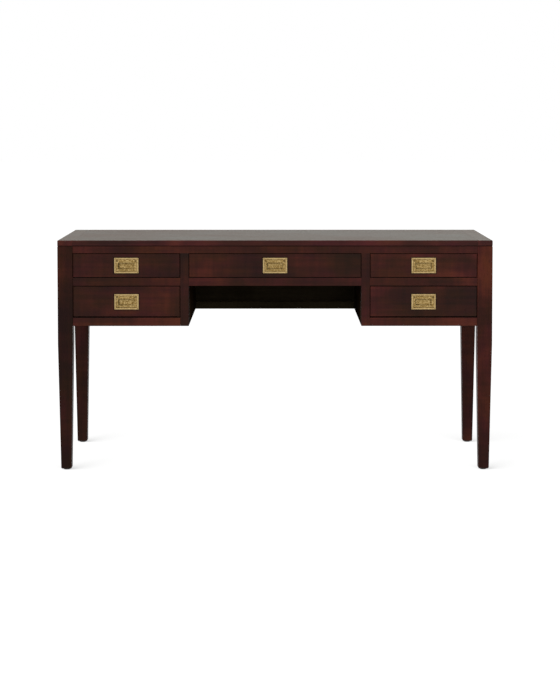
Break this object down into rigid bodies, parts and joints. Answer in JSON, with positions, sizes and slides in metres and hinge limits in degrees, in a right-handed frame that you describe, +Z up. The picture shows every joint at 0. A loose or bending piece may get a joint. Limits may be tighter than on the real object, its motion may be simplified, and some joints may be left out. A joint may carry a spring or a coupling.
{
  "type": "campaign desk",
  "caption": "Mahogany writing desk with tapered legs, inset drawers around a kneehole and flush brass pulls whose bails swing out; the drawers slide on wooden runners.",
  "frame": {"origin": "on the floor, under the middle of the desk's footprint", "axes": "+Z up, +X to the right of someone who faces the drawers, drawers open towards -Y"},
  "size_m": [1.45, 0.6, 0.772],
  "materials": {
    "mahogany": "satin lacquer",
    "drawer_wood": "waxed",
    "brass": "aged satin",
    "glide_steel": "dull"
  },
  "bodies": {
    "carcass": {"top_panel": "mahogany", "top_end_left": "mahogany", "top_end_right": "mahogany", "leg_front_left": "mahogany", "leg_front_right": "mahogany", "leg_back_left": "mahogany", "leg_back_right": "mahogany", "front_top_rail": "mahogany", "mid_rail_left": "mahogany", "mid_rail_right": "mahogany", "center_rail": "mahogany", "bottom_rail_left": "mahogany", "bottom_rail_right": "mahogany", "post_left": "mahogany", "post_right": "mahogany", "side_panel_left": "mahogany", "side_panel_right": "mahogany", "inner_panel_left": "mahogany", "inner_panel_right": "mahogany", "back_panel": "mahogany", "back_bottom_rail": "mahogany", "back_top_rail": "mahogany", "drawer_runners": "drawer_wood", "drawer_guides": "drawer_wood", "foot_glides": "glide_steel"},
    "drawer_left_upper": {"drawer_left_upper_front": "mahogany", "drawer_left_upper_sides": "drawer_wood", "drawer_left_upper_back": "drawer_wood", "drawer_left_upper_bottom": "drawer_wood", "drawer_left_upper_pull_plate": "brass", "drawer_left_upper_pull_screws": "brass"},
    "drawer_left_upper_bail": {"drawer_left_upper_bail": "brass"},
    "drawer_left_lower": {"drawer_left_lower_front": "mahogany", "drawer_left_lower_sides": "drawer_wood", "drawer_left_lower_back": "drawer_wood", "drawer_left_lower_bottom": "drawer_wood", "drawer_left_lower_pull_plate": "brass", "drawer_left_lower_pull_screws": "brass"},
    "drawer_left_lower_bail": {"drawer_left_lower_bail": "brass"},
    "drawer_center": {"drawer_center_front": "mahogany", "drawer_center_sides": "drawer_wood", "drawer_center_back": "drawer_wood", "drawer_center_bottom": "drawer_wood", "drawer_center_pull_plate": "brass", "drawer_center_pull_screws": "brass"},
    "drawer_center_bail": {"drawer_center_bail": "brass"},
    "drawer_right_upper": {"drawer_right_upper_front": "mahogany", "drawer_right_upper_sides": "drawer_wood", "drawer_right_upper_back": "drawer_wood", "drawer_right_upper_bottom": "drawer_wood", "drawer_right_upper_pull_plate": "brass", "drawer_right_upper_pull_screws": "brass"},
    "drawer_right_upper_bail": {"drawer_right_upper_bail": "brass"},
    "drawer_right_lower": {"drawer_right_lower_front": "mahogany", "drawer_right_lower_sides": "drawer_wood", "drawer_right_lower_back": "drawer_wood", "drawer_right_lower_bottom": "drawer_wood", "drawer_right_lower_pull_plate": "brass", "drawer_right_lower_pull_screws": "brass"},
    "drawer_right_lower_bail": {"drawer_right_lower_bail": "brass"}
  },
  "joints": [
    {"name": "drawer_left_upper_slide", "type": "slide", "parent": "carcass", "child": "drawer_left_upper", "axis": [0, -1, 0], "range_m": [0, 0.38]},
    {"name": "drawer_left_upper_bail_swing", "type": "hinge", "parent": "drawer_left_upper", "child": "drawer_left_upper_bail", "pos_m": [-0.4955, -0.2975, 0.70475], "axis": [-1, 0, 0], "range_deg": [0, 90]},
    {"name": "drawer_left_lower_slide", "type": "slide", "parent": "carcass", "child": "drawer_left_lower", "axis": [0, -1, 0], "range_m": [0, 0.38]},
    {"name": "drawer_left_lower_bail_swing", "type": "hinge", "parent": "drawer_left_lower", "child": "drawer_left_lower_bail", "pos_m": [-0.4955, -0.2975, 0.5835], "axis": [-1, 0, 0], "range_deg": [0, 90]},
    {"name": "drawer_center_slide", "type": "slide", "parent": "carcass", "child": "drawer_center", "axis": [0, -1, 0], "range_m": [0, 0.38]},
    {"name": "drawer_center_bail_swing", "type": "hinge", "parent": "drawer_center", "child": "drawer_center_bail", "pos_m": [0, -0.2975, 0.70475], "axis": [-1, 0, 0], "range_deg": [0, 90]},
    {"name": "drawer_right_upper_slide", "type": "slide", "parent": "carcass", "child": "drawer_right_upper", "axis": [0, -1, 0], "range_m": [0, 0.38]},
    {"name": "drawer_right_upper_bail_swing", "type": "hinge", "parent": "drawer_right_upper", "child": "drawer_right_upper_bail", "pos_m": [0.4955, -0.2975, 0.70475], "axis": [-1, 0, 0], "range_deg": [0, 90]},
    {"name": "drawer_right_lower_slide", "type": "slide", "parent": "carcass", "child": "drawer_right_lower", "axis": [0, -1, 0], "range_m": [0, 0.38]},
    {"name": "drawer_right_lower_bail_swing", "type": "hinge", "parent": "drawer_right_lower", "child": "drawer_right_lower_bail", "pos_m": [0.4955, -0.2975, 0.5835], "axis": [-1, 0, 0], "range_deg": [0, 90]}
  ]
}
